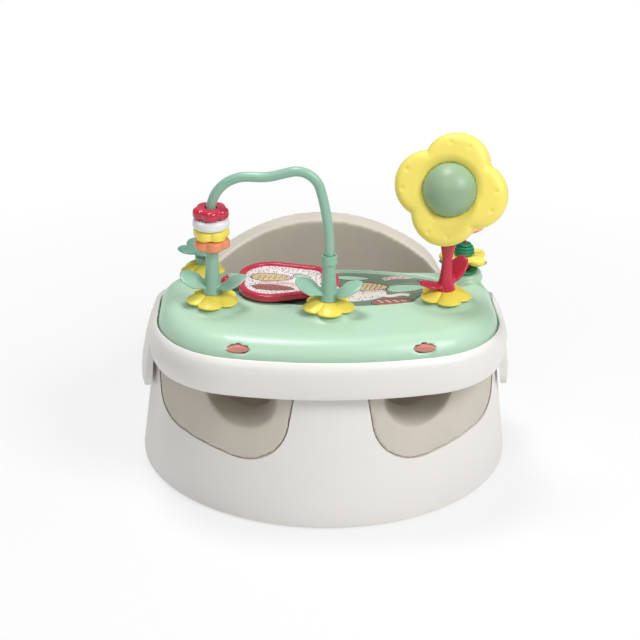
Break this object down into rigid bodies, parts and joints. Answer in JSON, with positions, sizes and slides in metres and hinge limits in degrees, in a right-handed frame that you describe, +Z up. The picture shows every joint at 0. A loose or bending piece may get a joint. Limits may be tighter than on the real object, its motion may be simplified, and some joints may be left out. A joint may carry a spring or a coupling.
{
  "type": "baby floor seat",
  "caption": "Low floor seat for a baby: a tapered plastic shell round a foam seat, with a lift-off tray over the legs and a removable play panel of turning toys.",
  "frame": {"origin": "middle of the footprint, on the floor under the rubber feet", "axes": "+Z up; +X to the viewer's right seen from the front; the front of the seat, where the legs come out, faces -Y"},
  "size_m": [0.3996, 0.3624, 0.3751],
  "materials": {
    "shell_white": "satin moulded",
    "plate_white": "moulded",
    "foot_rubber": "matt",
    "screw_steel": "zinc plated",
    "foam_taupe": "skinned foam, matt",
    "panel_mint": "gloss moulded",
    "picture_print": "printed sheet",
    "catch_pink": "gloss moulded",
    "page_crimson": "gloss moulded",
    "card_print": "printed card",
    "dish_yellow": "gloss moulded",
    "stem_sage": "satin moulded",
    "bead_crimson": "gloss moulded",
    "bead_white": "gloss moulded",
    "bead_yellow": "gloss moulded",
    "bead_orange": "gloss moulded",
    "flower_yellow": "satin moulded",
    "stem_crimson": "gloss moulded",
    "leaf_emerald": "gloss moulded",
    "wing_orange": "gloss moulded"
  },
  "bodies": {
    "base": {"base_shell": "shell_white", "base_plate": "plate_white", "plate_screws": "screw_steel", "foot_pads": "foot_rubber"},
    "insert": {"seat_insert": "foam_taupe"},
    "tray": {"tray_body": "shell_white"},
    "panel": {"play_panel": "panel_mint", "print_insert": "picture_print", "page_pin": "screw_steel", "catch_spring_left": "screw_steel", "catch_spring_right": "screw_steel", "left_dish": "dish_yellow", "middle_dish": "dish_yellow", "flower_dish": "dish_yellow", "clover_dish": "dish_yellow", "toy_screws": "screw_steel", "left_stem": "stem_sage", "middle_stem": "stem_sage", "arch_tube": "stem_sage", "flower_stem": "stem_crimson", "flower_head_front": "flower_yellow", "flower_head_back": "flower_yellow", "head_screws": "screw_steel", "ball_axle": "screw_steel", "clover_post": "stem_sage", "bug_leaves": "leaf_emerald", "bug_post": "stem_crimson", "bug_dome": "leaf_emerald"},
    "catch_left": {"panel_catch_left": "catch_pink"},
    "catch_right": {"panel_catch_right": "catch_pink"},
    "page": {"page_frame": "page_crimson", "page_card": "card_print"},
    "crimson_bead": {"bead_crimson": "bead_crimson"},
    "white_bead": {"bead_white": "bead_white"},
    "yellow_bead": {"bead_yellow": "bead_yellow"},
    "orange_bead": {"bead_orange": "bead_orange"},
    "ball": {"flower_ball": "stem_sage"},
    "clover": {"clover_spinner": "stem_sage"},
    "petals": {"bug_petals": "dish_yellow"},
    "wings": {"bug_wings": "wing_orange"}
  },
  "joints": [
    {"name": "insert_lift", "type": "slide", "parent": "base", "child": "insert", "axis": [0, 0, 1], "range_m": [0, 0.2]},
    {"name": "tray_lift", "type": "slide", "parent": "insert", "child": "tray", "axis": [0, 0, 1], "range_m": [0, 0.2]},
    {"name": "panel_lift", "type": "slide", "parent": "tray", "child": "panel", "axis": [0, 0, 1], "range_m": [0, 0.15]},
    {"name": "catch_left_press", "type": "slide", "parent": "panel", "child": "catch_left", "axis": [0, 1, 0], "range_m": [0, 0.003], "stiffness_N_per_m": 400, "springref_m": -0.001, "deforming": ["catch_spring_left"]},
    {"name": "catch_right_press", "type": "slide", "parent": "panel", "child": "catch_right", "axis": [0, 1, 0], "range_m": [0, 0.003], "stiffness_N_per_m": 400, "springref_m": -0.001, "deforming": ["catch_spring_right"]},
    {"name": "page_flip", "type": "hinge", "parent": "panel", "child": "page", "pos_m": [0.009, -0.034, 0.206], "axis": [0, 1, 0], "range_deg": [0, 160]},
    {"name": "crimson_bead_travel", "type": "hinge", "parent": "panel", "child": "crimson_bead", "pos_m": [-0.07841, -0.08355, 0.29995], "axis": [0.1461, 0.9893, 0], "range_deg": [0, 75]},
    {"name": "white_bead_spin", "type": "hinge", "parent": "panel", "child": "white_bead", "pos_m": [-0.116, -0.078, 0.289], "axis": [0, 0, 1], "continuous": true},
    {"name": "yellow_bead_spin", "type": "hinge", "parent": "panel", "child": "yellow_bead", "pos_m": [-0.116, -0.078, 0.278], "axis": [0, 0, 1], "continuous": true},
    {"name": "orange_bead_spin", "type": "hinge", "parent": "panel", "child": "orange_bead", "pos_m": [-0.116, -0.078, 0.267], "axis": [0, 0, 1], "continuous": true},
    {"name": "ball_roll", "type": "hinge", "parent": "panel", "child": "ball", "pos_m": [0.118, -0.07, 0.32], "axis": [0.9511, -0.309, 0], "continuous": true},
    {"name": "clover_spin", "type": "hinge", "parent": "panel", "child": "clover", "pos_m": [-0.1295, -0.003, 0.226], "axis": [0, 0, 1], "continuous": true},
    {"name": "petals_spin", "type": "hinge", "parent": "panel", "child": "petals", "pos_m": [0.144, -0.005, 0.215], "axis": [0, 0, 1], "continuous": true},
    {"name": "wings_spin", "type": "hinge", "parent": "panel", "child": "wings", "pos_m": [0.144, -0.005, 0.245], "axis": [0, 0, 1], "continuous": true}
  ]
}
